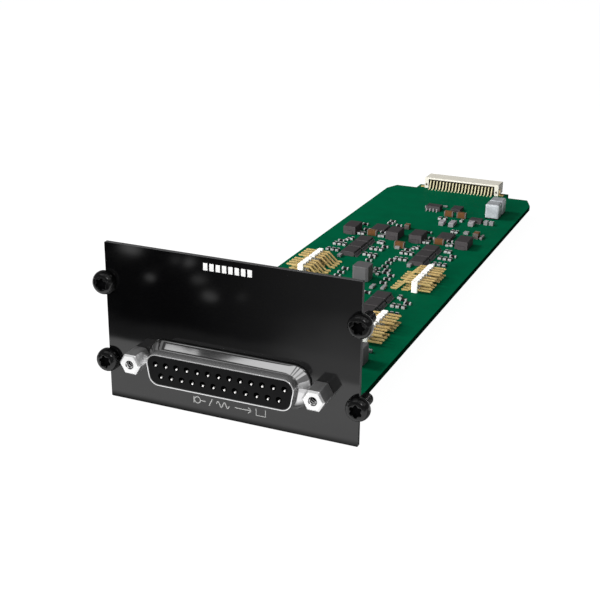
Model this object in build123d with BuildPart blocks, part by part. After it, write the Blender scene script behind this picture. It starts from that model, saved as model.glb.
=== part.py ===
from build123d import *
import math
import os

# ---------------------------------------------------------------------------
# Plug-in eight channel microphone preamp card.
# Frame: X to the right along the front panel, +Y from the panel back along
# the board, +Z up.  Origin: centre of the four panel screws, on the rear face
# of the front panel.  Millimetres.
# ---------------------------------------------------------------------------

# front panel
panel_w = 65.0
panel_h = 40.0
panel_t = 1.0
panel_corner_r = 0.3
panel_bevel = 0.06
screw_dx = 65.0          # spacing of the four captive screws across
screw_dz = 20.0          # and up
notch_r = 1.28           # half-round edge notch round each screw's neck

# captive panel screws, M3 six-lobe pan head, relieved neck in the notch
screw_r = 1.5
screw_neck_r = 1.2
thread_from = 0.3        # start of the thread behind the panel's rear face
screw_head_r = 2.95
screw_head_h = 2.4
screw_seat = 0.06        # gap under the head
screw_tip = 5.0          # reach behind the panel's rear face

# 25-way D-sub receptacle
dsub_z = -7.85           # height of the connector centre line
dsub_hw = 19.4           # half width of the shell at its wide (upper) side
dsub_hh = 3.95           # half height of the shell
dsub_corner = 2.6
dsub_front = -6.6        # front rim of the shell
dsub_wall = 0.45
dsub_flare = 1.6         # how far the root of the shell flares outwards
flare_wide = 0.4         # and how much more at the two ends
flange_w = 53.04
flange_h = 12.5
flange_t = 0.8
pitch = 2.76
row_gap = 2.84
contact_r = 0.6
contact_bore = 0.42
contact_hole = 0.75
contact_front = -5.7
tail = 0.6
tail_y_top = 10.2
tail_y_low = 7.4

# hexagonal jackposts, 4-40 UNC
post_dx = 47.04
post_af = 4.76
post_front = -6.0
post_bore = 1.42
post_stud = 1.38

# printed circuit board
board_top = -13.95
board_t = 1.6
board_hw = 28.1
board_front = 1.0
board_back = 196.3
tongue_x0 = -17.9
tongue_x1 = 17.6
tongue_back = 201.4

# board-edge connector at the rear
rear_x0 = -14.9
rear_x1 = 14.1
rear_y0 = 197.0
rear_y1 = 204.0
rear_h = 4.1
rear_pitch = 1.27
rear_count = 20
rear_first = -12.5

# dual-row 2.0 mm pin headers laid flat
head_pitch = 2.0
head_rows = [43.9, 45.9, 47.9, 49.9, 53.2, 55.2, 57.2, 59.2]
head_rear_shift = 42.1
head_right_x = 17.65
head_left_x = -18.75
head_body_w = 1.7
head_body_h = 3.5
head_pin = 0.5
head_low_z = 0.8
head_high_z = 2.8

os.makedirs("parts", exist_ok=True)


def at_y(y):
    """Sketch plane facing the front at depth y (local x = X, local y = Z)."""
    return Plane.XZ.offset(-y)


def back(y):
    """Depth behind the panel's rear face of a place measured from its front."""
    return y - panel_t


def d_points(o, hw=dsub_hw, hh=dsub_hh):
    """Corners of the D outline, grown outwards by o, wide side up."""
    t = math.tan(math.radians(10))
    c = math.cos(math.radians(10))
    top = hw + o * t + o / c
    low = hw - (2 * hh + o) * t + o / c
    return [(-top, dsub_z + hh + o), (top, dsub_z + hh + o),
            (low, dsub_z - hh - o), (-low, dsub_z - hh - o)]


def save(thing, name):
    thing.part.label = name
    export_step(thing.part, "parts/" + name + ".step")


contact_xz = [((i - 6) * pitch, dsub_z + row_gap / 2) for i in range(13)]
contact_xz += [((i - 5.5) * pitch, dsub_z - row_gap / 2) for i in range(12)]
posts = [(-post_dx / 2, dsub_z), (post_dx / 2, dsub_z)]

# --- front panel ------------------------------------------------------------
with BuildPart() as front_panel:
    with BuildSketch(at_y(0)):
        RectangleRounded(panel_w, panel_h, panel_corner_r)
    extrude(amount=panel_t)
    chamfer(front_panel.faces().sort_by(Axis.Y)[0].edges(), panel_bevel)
    with BuildSketch(at_y(0)):
        with GridLocations(screw_dx, screw_dz, 2, 2):
            Circle(notch_r)
    extrude(amount=panel_t, mode=Mode.SUBTRACT)
    with BuildSketch(at_y(0)) as cut:
        with BuildLine():
            Polyline(*d_points(dsub_flare + 0.18, dsub_hw + flare_wide), close=True)
        make_face()
        fillet(cut.vertices(), dsub_corner + dsub_flare + 0.18)
    extrude(amount=panel_t, mode=Mode.SUBTRACT)
    with BuildSketch(at_y(0)):
        with Locations(*posts):
            Circle(1.7)
    extrude(amount=panel_t, mode=Mode.SUBTRACT)
save(front_panel, "front_panel")

# --- captive screws ---------------------------------------------------------
for name, sx, sz in (("panel_screw_top_left", -1, 1),
                     ("panel_screw_top_right", 1, 1),
                     ("panel_screw_bottom_left", -1, -1),
                     ("panel_screw_bottom_right", 1, -1)):
    cx, cz = sx * screw_dx / 2, sz * screw_dz / 2
    under = -panel_t - screw_seat
    face = under - screw_head_h
    with BuildPart() as panel_screw:
        with BuildSketch(Plane(origin=(cx, 0, cz), x_dir=(1, 0, 0), z_dir=(0, 0, 1))):
            with BuildLine():
                Polyline((0, face), (1.8, face))
                ThreePointArc((1.8, face), (2.6, face + 0.75), (screw_head_r, under - 0.45))
                Polyline((screw_head_r, under - 0.45), (screw_head_r - 0.15, under),
                         (screw_neck_r, under), (screw_neck_r, thread_from),
                         (screw_r, thread_from), (screw_r, screw_tip - 0.4),
                         (screw_r - 0.4, screw_tip), (0, screw_tip), (0, face))
            make_face()
        revolve(axis=Axis((cx, 0, cz), (0, 1, 0)))
        with BuildSketch(Plane(origin=(cx, face, cz), x_dir=(1, 0, 0), z_dir=(0, -1, 0))):
            Circle(1.18)
            with PolarLocations(1.2, 6):
                Circle(0.4)
        extrude(amount=-1.5, mode=Mode.SUBTRACT)
    save(panel_screw, name)

# --- D-sub shell ------------------------------------------------------------
# depth, outward growth, extra half width
shell_steps = [(dsub_front, 0.0, 0.0), (-3.8, 0.06, 0.0), (-3.15, 0.3, 0.06), (-2.5, 0.75, 0.18),
               (-1.95, 1.2, 0.3), (-1.45, dsub_flare, flare_wide)]
with BuildPart() as dsub_shell:
    for first, second in zip(shell_steps[:-1], shell_steps[1:]):
        for y, o, w in (first, second):
            with BuildSketch(at_y(y)) as ring:
                with BuildLine():
                    Polyline(*d_points(o, dsub_hw + w), close=True)
                make_face()
                fillet(ring.vertices(), dsub_corner + o)
        loft(ruled=True)
    with BuildSketch(at_y(0)) as ring:
        with BuildLine():
            Polyline(*d_points(dsub_flare, dsub_hw + flare_wide), close=True)
        make_face()
        fillet(ring.vertices(), dsub_corner + dsub_flare)
    extrude(amount=1.45)
    with BuildSketch(at_y(flange_t)):
        with Locations((0, dsub_z)):
            RectangleRounded(flange_w, flange_h, 1.6)
    extrude(amount=flange_t)
    with BuildSketch(at_y(flange_t)) as ring:
        with BuildLine():
            Polyline(*d_points(-dsub_wall), close=True)
        make_face()
        fillet(ring.vertices(), dsub_corner - dsub_wall)
    extrude(amount=flange_t - dsub_front, mode=Mode.SUBTRACT)
    with BuildSketch(at_y(flange_t)):
        with Locations(*posts):
            Circle(1.55)
    extrude(amount=flange_t, mode=Mode.SUBTRACT)
save(dsub_shell, "dsub_shell")

# --- D-sub insulator --------------------------------------------------------
with BuildPart() as dsub_insulator:
    with BuildSketch(at_y(flange_t)) as core:
        with BuildLine():
            Polyline(*d_points(-dsub_wall), close=True)
        make_face()
        fillet(core.vertices(), dsub_corner - dsub_wall)
    extrude(amount=flange_t - dsub_front - 0.22)
    with BuildSketch(at_y(2.2)):
        with Locations((0, dsub_z)):
            RectangleRounded(40.0, 11.4, 1.2)
    extrude(amount=2.2 - flange_t)
    with BuildSketch(at_y(5.5)):
        with Locations((0, dsub_z)):
            RectangleRounded(38.0, 9.4, 0.8)
    extrude(amount=3.3)
    with BuildSketch(at_y(5.5)):
        with Locations(*contact_xz):
            Circle(contact_hole)
    extrude(amount=5.5 - dsub_front, mode=Mode.SUBTRACT)
save(dsub_insulator, "dsub_insulator")

# --- D-sub socket contacts with their right-angle tails ---------------------
with BuildPart() as dsub_contacts:
    with BuildSketch(at_y(5.5)):
        with Locations(*contact_xz):
            Circle(contact_r)
    extrude(amount=5.5 - contact_front)
    with BuildSketch(at_y(contact_front)):
        with Locations(*contact_xz):
            Circle(contact_bore)
    extrude(amount=-4.5, mode=Mode.SUBTRACT)
    for row, ty in ((contact_xz[:13], tail_y_top), (contact_xz[13:], tail_y_low)):
        z = row[0][1]
        with BuildSketch(at_y(ty + tail / 2)):
            with Locations(*row):
                Rectangle(tail, tail)
        extrude(amount=ty + tail / 2 - 5.5)
        with BuildSketch(Plane.XY.offset(board_top - board_t - 1.2)):
            with Locations(*[(x, ty) for x, _ in row]):
                Rectangle(tail, tail)
        extrude(amount=z + tail / 2 - (board_top - board_t - 1.2))
save(dsub_contacts, "dsub_contacts")

# --- plastic guide that spaces the tails at the board -----------------------
with BuildPart() as dsub_tail_guide:
    with BuildSketch(Plane.XY.offset(board_top)):
        with Locations((0, (tail_y_top + tail_y_low) / 2)):
            RectangleRounded(37.6, 5.6, 0.6)
        with Locations(*[(x, tail_y_top) for x, _ in contact_xz[:13]]):
            Rectangle(tail, tail, mode=Mode.SUBTRACT)
        with Locations(*[(x, tail_y_low) for x, _ in contact_xz[13:]]):
            Rectangle(tail, tail, mode=Mode.SUBTRACT)
    extrude(amount=1.4)
save(dsub_tail_guide, "dsub_tail_guide")

# --- right-angle brackets with threaded bosses and board locks --------------
lock_y = 6.0
with BuildPart() as dsub_brackets:
    with BuildSketch(at_y(1.6)):
        with Locations((-23.6, (board_top + dsub_z + 5.8) / 2), (23.6, (board_top + dsub_z + 5.8) / 2)):
            Rectangle(5.6, dsub_z + 5.8 - board_top)
    extrude(amount=0.8)
    with BuildSketch(Plane.XY.offset(board_top)):
        with Locations((-23.6, 4.8), (23.6, 4.8)):
            Rectangle(5.6, 8.0)
    extrude(amount=0.8)
    with BuildSketch(at_y(4.2)):
        with Locations(*posts):
            RegularPolygon(2.6, 6)
    extrude(amount=2.6)
    with BuildSketch(Plane.XY.offset(board_top - board_t - 0.9)):
        with Locations((-23.6, lock_y), (23.6, lock_y)):
            Circle(1.5)
    extrude(amount=board_t + 0.9)
    with BuildSketch(Plane.XY.offset(board_top - board_t - 0.9)):
        with Locations((-23.6, lock_y), (23.6, lock_y)):
            Rectangle(0.6, 4.0)
    extrude(amount=board_t + 0.5, mode=Mode.SUBTRACT)
    with BuildSketch(at_y(4.2)):
        with Locations(*posts):
            Circle(1.42)
    extrude(amount=3.4, mode=Mode.SUBTRACT)
save(dsub_brackets, "dsub_brackets")

# --- hexagonal jackposts ----------------------------------------------------
with BuildPart() as jackposts:
    with BuildSketch(at_y(-panel_t)):
        with Locations(*posts):
            RegularPolygon(post_af / 2, 6, major_radius=False)
    extrude(amount=-post_front - panel_t)
    with BuildSketch(at_y(-panel_t)):
        with Locations(*posts):
            Circle(3.2)
    extrude(amount=-post_front - panel_t, taper=0.0001, mode=Mode.INTERSECT)
    with BuildSketch(at_y(4.6)):
        with Locations(*posts):
            Circle(post_stud)
    extrude(amount=4.6 + panel_t)
    with BuildSketch(at_y(post_front)):
        with Locations(*posts):
            Circle(post_bore)
    extrude(amount=-4.4, mode=Mode.SUBTRACT)
    chamfer(jackposts.faces().filter_by(Axis.Y).group_by(Axis.Y)[0].edges().filter_by(GeomType.LINE), 0.7)
save(jackposts, "jackposts")

# --- printed circuit board --------------------------------------------------
with BuildPart() as pcb:
    with BuildSketch(Plane.XY.offset(board_top - board_t)):
        with BuildLine():
            Polyline((-board_hw, board_front), (board_hw, board_front),
                     (board_hw, back(190.2)), (25.5, board_back),
                     (tongue_x1, board_back), (tongue_x1 - 0.5, tongue_back),
                     (tongue_x0, tongue_back), (tongue_x0, board_back),
                     (-25.9, board_back), (-board_hw, back(191.8)), close=True)
        make_face()
        with Locations(*[(x, tail_y_top) for x, _ in contact_xz[:13]]):
            Circle(0.5, mode=Mode.SUBTRACT)
        with Locations(*[(x, tail_y_low) for x, _ in contact_xz[13:]]):
            Circle(0.5, mode=Mode.SUBTRACT)
        with Locations((-23.6, lock_y), (23.6, lock_y)):
            Circle(1.6, mode=Mode.SUBTRACT)
    extrude(amount=board_t)
save(pcb, "pcb")

# --- rear connector ---------------------------------------------------------
rear_mid = (rear_x0 + rear_x1) / 2
rear_contacts = [rear_first + i * rear_pitch for i in range(rear_count)]
span_mid = rear_first + (rear_count - 1) * rear_pitch / 2
with BuildPart() as rear_connector_housing:
    with BuildSketch(Plane.XY.offset(board_top)):
        with Locations((rear_mid, (rear_y0 + rear_y1) / 2)):
            Rectangle(rear_x1 - rear_x0, rear_y1 - rear_y0)
    extrude(amount=rear_h)
    chamfer(rear_connector_housing.faces().sort_by(Axis.Z)[-1].edges(), 0.2)
    # open front, where the leads come out
    with BuildSketch(at_y(rear_y0 + 1.8)):
        with Locations((span_mid, board_top + (rear_h - 0.55) / 2)):
            Rectangle(rear_count * rear_pitch + 0.5, rear_h - 0.55)
    extrude(amount=1.8, mode=Mode.SUBTRACT)
    # mating slot at the rear
    with BuildSketch(at_y(rear_y1)):
        with Locations((span_mid, board_top + 2.1)):
            Rectangle(rear_count * rear_pitch + 0.5, 2.6)
    extrude(amount=4.4, mode=Mode.SUBTRACT)
    # lead channels through the middle wall
    with BuildSketch(at_y(rear_y1 - 4.0)):
        with Locations(*[(x, board_top + 3.035) for x in rear_contacts]):
            Rectangle(0.46, 0.25)
    extrude(amount=rear_y1 - 4.0 - rear_y0 - 1.0, mode=Mode.SUBTRACT)
    # locating holes in the end posts
    with BuildSketch(at_y(rear_y0)):
        with Locations((rear_x0 + 0.75, board_top + 1.4), (rear_x1 - 0.75, board_top + 1.4)):
            Rectangle(0.7, 0.9)
    extrude(amount=-2.0, mode=Mode.SUBTRACT)
save(rear_connector_housing, "rear_connector_housing")

# each lead: blade in the slot, through the wall, round the bend, foot on the board
with BuildPart() as rear_connector_leads:
    for x in rear_contacts:
        with BuildSketch(Plane(origin=(x - 0.23, 0, board_top), x_dir=(0, 1, 0), z_dir=(1, 0, 0))):
            with BuildLine():
                Polyline((rear_y1 - 0.8, 3.16), (rear_y0 + 0.6, 3.16))
                ThreePointArc((rear_y0 + 0.6, 3.16), (rear_y0 + 0.02, 2.88), (rear_y0 - 0.25, 2.2))
                Polyline((rear_y0 - 0.25, 2.2), (rear_y0 - 1.05, 0.42))
                ThreePointArc((rear_y0 - 1.05, 0.42), (rear_y0 - 1.22, 0.3), (rear_y0 - 1.4, 0.25))
                Polyline((rear_y0 - 1.4, 0.25), (rear_y0 - 2.3, 0.25), (rear_y0 - 2.3, 0.0),
                         (rear_y0 - 1.3, 0.0))
                ThreePointArc((rear_y0 - 1.3, 0.0), (rear_y0 - 1.02, 0.09), (rear_y0 - 0.82, 0.32))
                Polyline((rear_y0 - 0.82, 0.32), (rear_y0 + 0.0, 2.12))
                ThreePointArc((rear_y0 + 0.0, 2.12), (rear_y0 + 0.22, 2.7), (rear_y0 + 0.62, 2.91))
                Polyline((rear_y0 + 0.62, 2.91), (rear_y1 - 0.8, 2.91), (rear_y1 - 0.8, 3.16))
            make_face()
        extrude(amount=0.46)
save(rear_connector_leads, "rear_connector_leads")

with BuildPart() as rear_connector_tabs:
    with BuildSketch(Plane.XY.offset(board_top)):
        with Locations((rear_x0 - 0.9, rear_y0 + 1.6), (rear_x1 + 0.9, rear_y0 + 1.6)):
            Rectangle(1.8, 1.6)
    extrude(amount=0.25)
    with BuildSketch(Plane.XY.offset(board_top)):
        with Locations((rear_x0 - 0.125, rear_y0 + 1.6), (rear_x1 + 0.125, rear_y0 + 1.6)):
            Rectangle(0.25, 1.6)
    extrude(amount=2.2)
save(rear_connector_tabs, "rear_connector_tabs")

# --- dual-row pin headers ---------------------------------------------------
headers = (("front_right", head_right_x, 1, 0.0), ("rear_right", head_right_x, 1, head_rear_shift),
           ("front_left", head_left_x, -1, 0.0), ("rear_left", head_left_x, -1, head_rear_shift))
for name, hx, side, shift in headers:
    ys = [back(y + shift) for y in head_rows]
    y0, y1 = ys[0] - 0.9, ys[-1] + 0.9
    seams = [(a + b) / 2 for a, b in zip(ys[:-1], ys[1:])]
    with BuildPart() as header_body:
        with BuildSketch(Plane.XY.offset(board_top)):
            with Locations((hx, (y0 + y1) / 2)):
                Rectangle(head_body_w, y1 - y0)
            for s in seams:
                for e in (-1, 1):
                    with Locations((hx + e * head_body_w / 2, s)):
                        Rectangle(0.5, 0.36, rotation=45, mode=Mode.SUBTRACT)
        extrude(amount=head_body_h)
        chamfer(header_body.faces().sort_by(Axis.Z)[-1].edges().filter_by(Axis.Y), 0.2)
        with BuildSketch(Plane(origin=(hx - head_body_w / 2, 0, board_top), x_dir=(0, 1, 0), z_dir=(1, 0, 0))):
            with Locations(*[(y, z) for y in ys for z in (head_low_z, head_high_z)]):
                Rectangle(head_pin, head_pin)
        extrude(amount=head_body_w, mode=Mode.SUBTRACT)
    save(header_body, "header_body_" + name)

    p = head_pin / 2
    with BuildPart() as header_pins:
        for y in ys:
            # local x runs outwards from the header centre, local y is height
            with BuildSketch(Plane(origin=(hx, y + p * side, board_top), x_dir=(side, 0, 0), z_dir=(0, -side, 0))):
                for zc, bend, drop, foot in ((head_high_z, -3.05, -5.75, -7.4), (head_low_z, -1.45, -2.2, -4.1)):
                    with BuildLine():
                        ang = math.atan2(zc - p, bend - drop)
                        k = p * math.tan(ang / 2)
                        Polyline((4.75, zc - p + 0.12), (4.87, zc), (4.75, zc + p - 0.12), (4.6, zc + p),
                                 (bend - k, zc + p), (drop - k, 2 * p), (foot, 2 * p),
                                 (foot, 0), (drop + k, 0), (bend + k, zc - p), (4.6, zc - p), close=True)
                    make_face()
            extrude(amount=head_pin)
    save(header_pins, "header_pins_" + name)


# --- parts soldered on the board -------------------------------------------
def spans(rows):
    """Centre and size of plan rectangles given by x0, x1, y0, y1 from the panel front."""
    return [((a + b) / 2, back((c + d) / 2), b - a, d - c) for a, b, c, d in rows]


# moulded tantalum capacitors, case D
tantalums = [(-22.1, -17.8, 129.7, 137.0), (-7.0, -2.7, 129.7, 137.0),
             (1.2, 5.5, 129.6, 136.9), (16.95, 21.25, 129.5, 136.8)]
with BuildPart() as tantalum_bodies:
    with BuildSketch(Plane.XY.offset(board_top + 0.12)):
        for x, y, w, l in spans(tantalums):
            with Locations((x, y)):
                Rectangle(w, l - 0.3)
    extrude(amount=2.68)
    chamfer(tantalum_bodies.faces().group_by(Axis.Z)[-1].edges(), 0.12)
    with BuildSketch(Plane.XY.offset(board_top)):
        for x, y, w, l in spans(tantalums):
            with Locations((x, y - l / 2 + 0.6), (x, y + l / 2 - 0.6)):
                Rectangle(2.4, 1.3)
    extrude(amount=0.12, mode=Mode.SUBTRACT)
    with BuildSketch(Plane.XY.offset(board_top + 0.12)):
        for x, y, w, l in spans(tantalums):
            with Locations((x, y - l / 2 + 0.1), (x, y + l / 2 - 0.1)):
                Rectangle(2.4, 0.35)
    extrude(amount=1.2, mode=Mode.SUBTRACT)
save(tantalum_bodies, "tantalum_bodies")

with BuildPart() as tantalum_terminals:
    with BuildSketch(Plane.XY.offset(board_top)):
        for x, y, w, l in spans(tantalums):
            with Locations((x, y - l / 2 + 0.65), (x, y + l / 2 - 0.65)):
                Rectangle(2.4, 1.3)
    extrude(amount=0.12)
    with BuildSketch(Plane.XY.offset(board_top)):
        for x, y, w, l in spans(tantalums):
            with Locations((x, y - l / 2 + 0.0625 + 0.09), (x, y + l / 2 - 0.0625 - 0.09)):
                Rectangle(2.4, 0.245)
    extrude(amount=1.3)
save(tantalum_terminals, "tantalum_terminals")

# moulded power inductors with cut corners
inductors = [(-2.8, 2.3, 87.3, 92.8), (17.4, 22.5, 28.9, 34.3)]
with BuildPart() as power_inductors:
    with BuildSketch(Plane.XY.offset(board_top + 0.1)):
        for x, y, w, l in spans(inductors):
            with Locations((x, y)):
                Rectangle(w, l)
    extrude(amount=4.6)
    chamfer(power_inductors.edges().filter_by(Axis.Z), 0.75)
    chamfer(power_inductors.faces().group_by(Axis.Z)[-1].edges(), 0.2)
save(power_inductors, "power_inductors")

with BuildPart() as inductor_terminals:
    with BuildSketch(Plane.XY.offset(board_top)):
        for x, y, w, l in spans(inductors):
            with Locations((x - w / 2 + 0.8, y), (x + w / 2 - 0.8, y)):
                Rectangle(1.5, 3.2)
    extrude(amount=0.1)
save(inductor_terminals, "inductor_terminals")

# thin small-outline packages in two columns: body centre x, y
tssop_w = 4.4
tssop_l = 6.0
tssop_h = 1.45
tssop_lift = 0.1
tssop_pitch = 0.62
left_col = -12.2
right_col = 10.75
tssops = [(left_col, back(110.9)), (left_col, back(117.25)), (left_col, back(123.55)),
          (right_col, back(110.9)), (right_col, back(117.25)), (right_col, back(123.55)),
          (right_col, back(76.1)), (right_col, back(69.8)), (right_col, back(63.5)),
          (left_col, back(76.1)), (left_col, back(69.8)), (left_col, back(63.5))]
with BuildPart() as preamp_ic_bodies:
    with BuildSketch(Plane.XY.offset(board_top + tssop_lift)):
        with Locations(*tssops):
            Rectangle(tssop_w, tssop_l)
    extrude(amount=tssop_h)
    chamfer(preamp_ic_bodies.faces().group_by(Axis.Z)[-1].edges(), 0.1)
    with BuildSketch(Plane.XY.offset(board_top + tssop_lift + tssop_h)):
        with Locations(*[(x - 1.5, y - 2.3) for x, y in tssops]):
            Circle(0.35)
    extrude(amount=-0.08, mode=Mode.SUBTRACT)
save(preamp_ic_bodies, "preamp_ic_bodies")

with BuildPart() as preamp_ic_leads:
    for j in range(9):
        dy = (j - 4) * tssop_pitch - 0.13
        for y in sorted(set(y for _, y in tssops)):
            cols = [x for x, yy in tssops if yy == y]
            with BuildSketch(Plane(origin=(0, y + dy + 0.26, board_top), x_dir=(1, 0, 0), z_dir=(0, -1, 0))):
                for x in cols:
                    for s in (-1, 1):
                        e = x + s * tssop_w / 2
                        with BuildLine():
                            Polyline((e, 0.92), (e + s * 0.42, 0.92), (e + s * 0.62, 0.16),
                                     (e + s * 1.05, 0.16), (e + s * 1.05, 0.0), (e + s * 0.5, 0.0),
                                     (e + s * 0.3, 0.76), (e, 0.76), close=True)
                        make_face()
            extrude(amount=0.26)
save(preamp_ic_leads, "preamp_ic_leads")

# converters: thin no-lead packages behind the front capacitors
converters = [(-12.2, back(139.7)), (11.1, back(139.9))]
conv_w = 4.8
conv_l = 6.4
with BuildPart() as converter_ic_bodies:
    with BuildSketch(Plane.XY.offset(board_top + 0.1)):
        with Locations(*converters):
            Rectangle(conv_w, conv_l)
    extrude(amount=0.85)
    chamfer(converter_ic_bodies.faces().group_by(Axis.Z)[-1].edges(), 0.08)
    with BuildSketch(Plane.XY.offset(board_top + 0.95)):
        with Locations(*[(x - 1.7, y - 2.5) for x, y in converters]):
            Circle(0.35)
    extrude(amount=-0.08, mode=Mode.SUBTRACT)
save(converter_ic_bodies, "converter_ic_bodies")

with BuildPart() as converter_ic_pads:
    with BuildSketch(Plane.XY.offset(board_top)):
        for x, y in converters:
            with Locations(*[(x + e * (conv_w / 2 - 0.1), y + (j - 4) * 0.65) for e in (-1, 1) for j in range(9)]):
                Rectangle(0.5, 0.3)
            with Locations(*[(x + (j - 2.5) * 0.65, y + e * (conv_l / 2 - 0.1)) for e in (-1, 1) for j in range(6)]):
                Rectangle(0.3, 0.5)
    extrude(amount=0.1)
save(converter_ic_pads, "converter_ic_pads")

# bus buffer: eight-lead package turned across the board
buf_x, buf_y = -2.75, back(170.3)
with BuildPart() as buffer_ic_body:
    with BuildSketch(Plane.XY.offset(board_top + 0.15)):
        with Locations((buf_x + 0.25, buf_y)):
            Rectangle(5.2, 3.8)
    extrude(amount=1.65)
    chamfer(buffer_ic_body.faces().sort_by(Axis.Z)[-1].edges(), 0.1)
save(buffer_ic_body, "buffer_ic_body")

with BuildPart() as buffer_ic_leads:
    for j in range(4):
        with BuildSketch(Plane(origin=(buf_x + (j - 1.5) * 1.27 - 0.22, 0, board_top), x_dir=(0, 1, 0), z_dir=(1, 0, 0))):
            for s in (-1, 1):
                e = buf_y + s * 1.9
                with BuildLine():
                    Polyline((e, 1.1), (e + s * 0.4, 1.1), (e + s * 0.6, 0.2),
                             (e + s * 1.05, 0.2), (e + s * 1.05, 0.0), (e + s * 0.45, 0.0),
                             (e + s * 0.25, 0.9), (e, 0.9), close=True)
                make_face()
        extrude(amount=0.44)
save(buffer_ic_leads, "buffer_ic_leads")

# regulator and switching controller, no-lead packages
leadless = [(3.75, 7.15, 170.3, 175.3, 1.2), (13.4, 17.7, 160.0, 163.1, 1.35)]
with BuildPart() as regulator_bodies:
    for a, b, c, d, h in leadless:
        with BuildSketch(Plane.XY.offset(board_top + 0.12)):
            with Locations(((a + b) / 2, back((c + d) / 2))):
                Rectangle(b - a, d - c)
        extrude(amount=h - 0.12)
    chamfer(regulator_bodies.faces().filter_by(Axis.Z).group_by(Axis.Z)[-1].edges(), 0.1)
save(regulator_bodies, "regulator_bodies")

with BuildPart() as regulator_pads:
    for a, b, c, d, h in leadless:
        n = int((b - a) / 0.8)
        with BuildSketch(Plane.XY.offset(board_top)):
            for y in (c + 0.15, d - 0.15):
                with Locations(*[((a + b) / 2 + (i - (n - 1) / 2) * 0.8, back(y)) for i in range(n)]):
                    Rectangle(0.4, 0.5)
        extrude(amount=0.12)
save(regulator_pads, "regulator_pads")

# pressed metal can filters
cans = [(16.95, 21.75, 167.65, 172.9), (16.95, 21.75, 173.5, 178.75)]
with BuildPart() as filter_cans:
    with BuildSketch(Plane.XY.offset(board_top + 0.35)) as can_plan:
        for x, y, w, l in spans(cans):
            with Locations((x, y)):
                Rectangle(w, l)
        chamfer(can_plan.vertices(), 0.4)
    extrude(amount=4.95)
    chamfer(filter_cans.faces().group_by(Axis.Z)[-1].edges(), 0.3)
save(filter_cans, "filter_cans")

with BuildPart() as filter_can_bases:
    with BuildSketch(Plane.XY.offset(board_top)):
        for x, y, w, l in spans(cans):
            with Locations((x, y)):
                Rectangle(w - 0.2, l - 0.2)
    extrude(amount=0.35)
save(filter_can_bases, "filter_can_bases")

# multilayer ceramic capacitors: x0, x1, y0, y1, height, long axis
ceramics = [(-14.1, -10.8, 131.4, 133.0, 1.9, "x"), (-1.5, 1.9, 122.7, 124.3, 2.0, "x"),
            (-4.9, -3.2, 143.2, 145.6, 1.6, "y"), (9.2, 12.6, 131.6, 133.3, 1.8, "x"),
            (19.4, 21.2, 142.8, 146.0, 1.9, "y"), (3.1, 6.3, 164.0, 165.6, 1.9, "x"),
            (7.75, 11.05, 163.8, 165.4, 2.0, "x")]
cap = 0.35
with BuildPart() as ceramic_capacitor_bodies:
    for a, b, c, d, h, axis in ceramics:
        w, l = (b - a - 2 * cap, d - c) if axis == "x" else (b - a, d - c - 2 * cap)
        with BuildSketch(Plane.XY.offset(board_top + 0.05)):
            with Locations(((a + b) / 2, back((c + d) / 2))):
                Rectangle(w, l)
        extrude(amount=h - 0.05)
save(ceramic_capacitor_bodies, "ceramic_capacitor_bodies")

with BuildPart() as ceramic_capacitor_terminals:
    for a, b, c, d, h, axis in ceramics:
        with BuildSketch(Plane.XY.offset(board_top)):
            if axis == "x":
                with Locations((a + cap / 2, back((c + d) / 2)), (b - cap / 2, back((c + d) / 2))):
                    Rectangle(cap, d - c)
            else:
                with Locations(((a + b) / 2, back(c + cap / 2)), ((a + b) / 2, back(d - cap / 2))):
                    Rectangle(b - a, cap)
        extrude(amount=h)
save(ceramic_capacitor_terminals, "ceramic_capacitor_terminals")

# moulded diodes with broad folded end tabs
diodes = [(4.45, 6.3, 152.4, 156.5, 1.25), (7.95, 9.9, 152.3, 157.4, 1.3),
          (14.0, 16.0, 155.8, 159.2, 1.45)]
with BuildPart() as diode_bodies:
    for a, b, c, d, h in diodes:
        with BuildSketch(Plane.XY.offset(board_top + 0.1)):
            with Locations(((a + b) / 2, back((c + d) / 2))):
                Rectangle(b - a, d - c - 1.0)
        extrude(amount=h - 0.1)
    chamfer(diode_bodies.faces().filter_by(Axis.Z).sort_by(Axis.Z)[-3:].edges(), 0.08)
save(diode_bodies, "diode_bodies")

with BuildPart() as diode_terminals:
    for a, b, c, d, h in diodes:
        with BuildSketch(Plane.XY.offset(board_top)):
            with Locations(((a + b) / 2, back(c + 0.25)), ((a + b) / 2, back(d - 0.25))):
                Rectangle(b - a - 0.2, 0.5)
        extrude(amount=h - 0.2)
save(diode_terminals, "diode_terminals")

# ferrite beads and small metal-capped chips: x0, x1, y0, y1, height
beads = [(18.7, 20.05, 159.5, 161.8, 1.3), (20.55, 22.0, 159.7, 161.6, 1.3),
         (-0.8, 0.8, 121.4, 122.5, 0.9), (-14.8, -13.6, 105.7, 107.7, 0.95),
         (8.5, 9.7, 105.8, 107.8, 0.95), (4.5, 5.65, 82.8, 85.9, 0.7), (7.8, 8.95, 83.4, 86.5, 0.7), (21.75, 22.6, 142.6, 146.4, 0.8),
         (15.3, 16.9, 146.0, 148.2, 0.8), (20.0, 21.6, 38.1, 39.3, 0.8),
         (-0.5, 1.1, 174.8, 175.8, 0.6), (-6.2, -5.5, 170.9, 172.3, 0.8)]
with BuildPart() as ferrite_beads:
    for a, b, c, d, h in beads:
        with BuildSketch(Plane.XY.offset(board_top)):
            with Locations(((a + b) / 2, back((c + d) / 2))):
                Rectangle(b - a, d - c)
        extrude(amount=h)
save(ferrite_beads, "ferrite_beads")

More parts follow.
